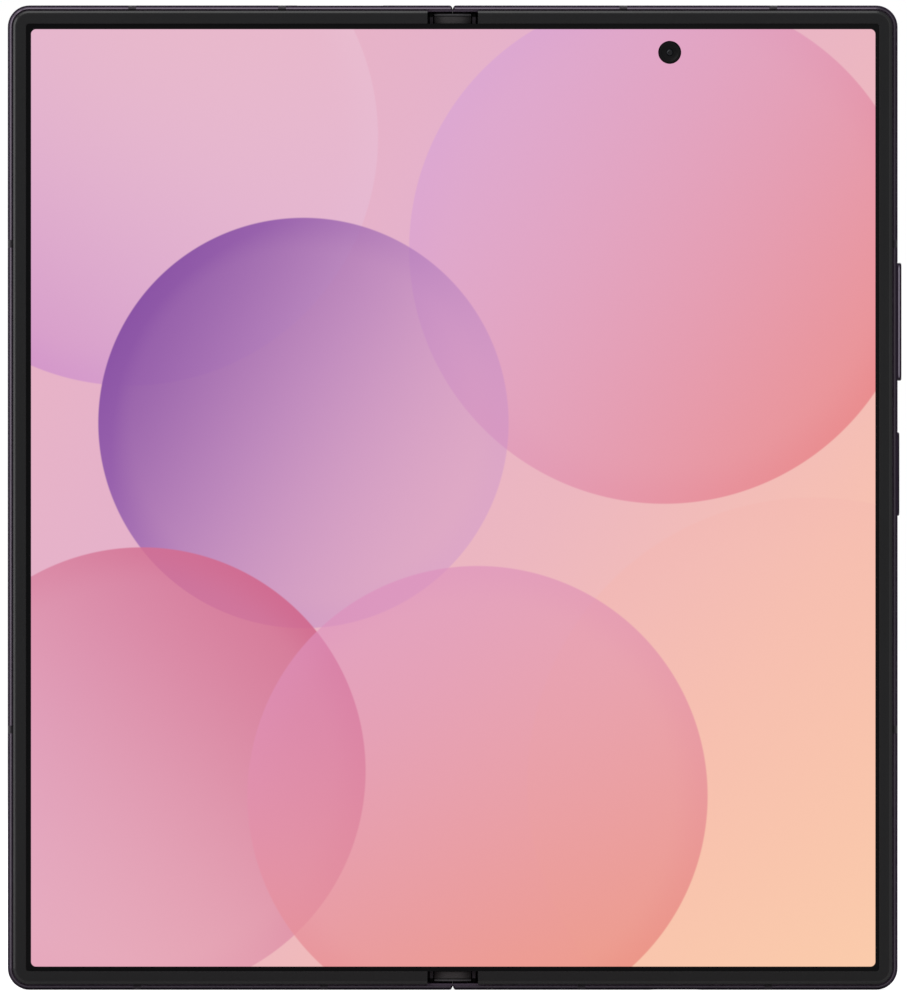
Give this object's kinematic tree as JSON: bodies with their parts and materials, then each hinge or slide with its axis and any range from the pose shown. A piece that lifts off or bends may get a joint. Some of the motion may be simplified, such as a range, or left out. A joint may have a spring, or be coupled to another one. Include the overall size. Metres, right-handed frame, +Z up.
{
  "type": "foldable smartphone",
  "caption": "Foldable phone opened flat: two thin metal halves with one large flexible screen, joined along the middle by a geared hinge, with side keys and a rear camera island.",
  "frame": {"origin": "middle of the back face, on the fold line between the two halves, with the phone opened flat and upright", "axes": "+X to the right as the user sees the screen, +Y out of the back, +Z up along the fold"},
  "size_m": [0.1438, 0.0066, 0.1584],
  "materials": {
    "frame_metal": "dark anodised aluminium, fine satin",
    "hinge_metal": "stainless steel, satin",
    "break_plastic": "moulded polymer, matte",
    "bezel_plastic": "soft matte black polymer",
    "back_glass": "frosted toughened glass, opaque dark coating behind",
    "cover_glass": "clear toughened glass over a black screen",
    "lens_glass": "coated lens glass, glossy",
    "lens_ring": "turned aluminium, satin with bright chamfer",
    "camera_black": "black camera housing",
    "flash": "diffusing flash window",
    "screen": "flexible screen, glossy film over a lit panel",
    "panel": "cover display panel, off",
    "circuit": "green solder mask",
    "shield": "tinned shield cans",
    "copper": "copper",
    "battery": "foil pouch cell, dark wrap",
    "flex": "polyimide flex circuit",
    "module_black": "black moulded module",
    "magnet": "nickel plated magnet",
    "screw_steel": "black nickel screws"
  },
  "bodies": {
    "right_half": {"right_frame": "frame_metal", "right_antenna_breaks": "break_plastic", "right_bezel": "bezel_plastic", "right_back_glass": "back_glass", "camera_island": "frame_metal", "camera_lens_rings": "lens_ring", "camera_lens_covers": "lens_glass", "wide_camera_module": "camera_black", "ultrawide_camera_module": "camera_black", "tele_camera_module": "camera_black", "flash_window": "flash", "selfie_camera": "camera_black", "main_board": "circuit", "board_shields": "shield", "vapor_chamber": "copper", "right_battery": "battery", "charging_coil": "copper", "usb_port_shell": "shield", "usb_port_tongue": "module_black", "usb_board": "circuit", "loudspeaker": "module_black", "vibration_motor": "shield", "key_flex": "flex", "right_magnets": "magnet", "right_screws": "screw_steel", "right_rotator_arms": "hinge_metal", "display_right": "screen"},
    "left_half": {"left_frame": "frame_metal", "left_antenna_breaks": "break_plastic", "left_bezel": "bezel_plastic", "cover_glass": "cover_glass", "cover_display_panel": "panel", "cover_camera": "camera_black", "left_battery": "battery", "left_board": "circuit", "earpiece_speaker": "module_black", "sim_reader": "shield", "left_magnets": "magnet", "left_screws": "screw_steel", "left_rotator_arms": "hinge_metal", "display_left": "screen"},
    "hinge_spine": {"spine_cover": "frame_metal", "hinge_end_caps": "break_plastic", "hinge_brackets": "hinge_metal", "gear_shafts": "hinge_metal", "detent_springs": "hinge_metal", "centre_plate": "hinge_metal", "hinge_screws": "screw_steel", "hinge_flex_cables": "flex", "display_fold_section": "screen"},
    "left_sync_arms": {"left_sync_arms": "hinge_metal"},
    "right_sync_arms": {"right_sync_arms": "hinge_metal"},
    "left_idler_gears": {"left_idler_gears": "hinge_metal"},
    "right_idler_gears": {"right_idler_gears": "hinge_metal"},
    "left_wing_plate": {"left_wing_plate": "hinge_metal"},
    "right_wing_plate": {"right_wing_plate": "hinge_metal"},
    "volume_rocker": {"volume_rocker": "frame_metal"},
    "side_key": {"side_key": "frame_metal"},
    "sim_tray": {"sim_tray": "frame_metal"}
  },
  "joints": [
    {"name": "right_fold", "type": "hinge", "parent": "hinge_spine", "child": "right_half", "pos_m": [0.00125, -0.0032, 0], "axis": [0, 0, 1], "range_deg": [-90, 0], "deforming": ["display_fold_section", "hinge_flex_cables"]},
    {"name": "left_fold", "type": "hinge", "parent": "hinge_spine", "child": "left_half", "pos_m": [-0.00125, -0.0032, 0], "axis": [0, 0, 1], "range_deg": [0, 90], "deforming": ["display_fold_section", "hinge_flex_cables"]},
    {"name": "left_sync", "type": "hinge", "parent": "hinge_spine", "child": "left_sync_arms", "pos_m": [-0.0018, -0.0022, 0], "axis": [0, 0, 1], "range_deg": [0, 90]},
    {"name": "right_sync", "type": "hinge", "parent": "hinge_spine", "child": "right_sync_arms", "pos_m": [0.0018, -0.0022, 0], "axis": [0, 0, 1], "range_deg": [-90, 0]},
    {"name": "left_idler", "type": "hinge", "parent": "hinge_spine", "child": "left_idler_gears", "pos_m": [-0.0006, -0.0022, 0], "axis": [0, 0, 1], "range_deg": [-90, 0]},
    {"name": "right_idler", "type": "hinge", "parent": "hinge_spine", "child": "right_idler_gears", "pos_m": [0.0006, -0.0022, 0], "axis": [0, 0, 1], "range_deg": [0, 90]},
    {"name": "left_wing_tilt", "type": "hinge", "parent": "left_half", "child": "left_wing_plate", "pos_m": [-0.0065, -0.00315, 0], "axis": [0, 0, 1], "range_deg": [0, 10]},
    {"name": "right_wing_tilt", "type": "hinge", "parent": "right_half", "child": "right_wing_plate", "pos_m": [0.0065, -0.00315, 0], "axis": [0, 0, 1], "range_deg": [-10, 0]},
    {"name": "volume_rock", "type": "hinge", "parent": "right_half", "child": "volume_rocker", "pos_m": [0.0712, -0.00205, 0.0283], "axis": [0, 1, 0], "range_deg": [-1.2, 1.2], "stiffness_Nm_per_rad": 0.5},
    {"name": "side_key_press", "type": "slide", "parent": "right_half", "child": "side_key", "axis": [-1, 0, 0], "range_m": [0, 0.0002], "stiffness_N_per_m": 4000},
    {"name": "sim_tray_slide", "type": "slide", "parent": "left_half", "child": "sim_tray", "axis": [0, 0, 1], "range_m": [0, 0.017]}
  ],
  "couplings": [
    {"joint": "left_fold", "follows": "right_fold", "ratio": -1},
    {"joint": "left_sync", "follows": "right_fold", "ratio": -1},
    {"joint": "right_sync", "follows": "right_fold", "ratio": 1},
    {"joint": "left_idler", "follows": "right_fold", "ratio": 1},
    {"joint": "right_idler", "follows": "right_fold", "ratio": -1},
    {"joint": "left_wing_tilt", "follows": "right_fold", "ratio": -0.11111},
    {"joint": "right_wing_tilt", "follows": "right_fold", "ratio": 0.11111}
  ]
}
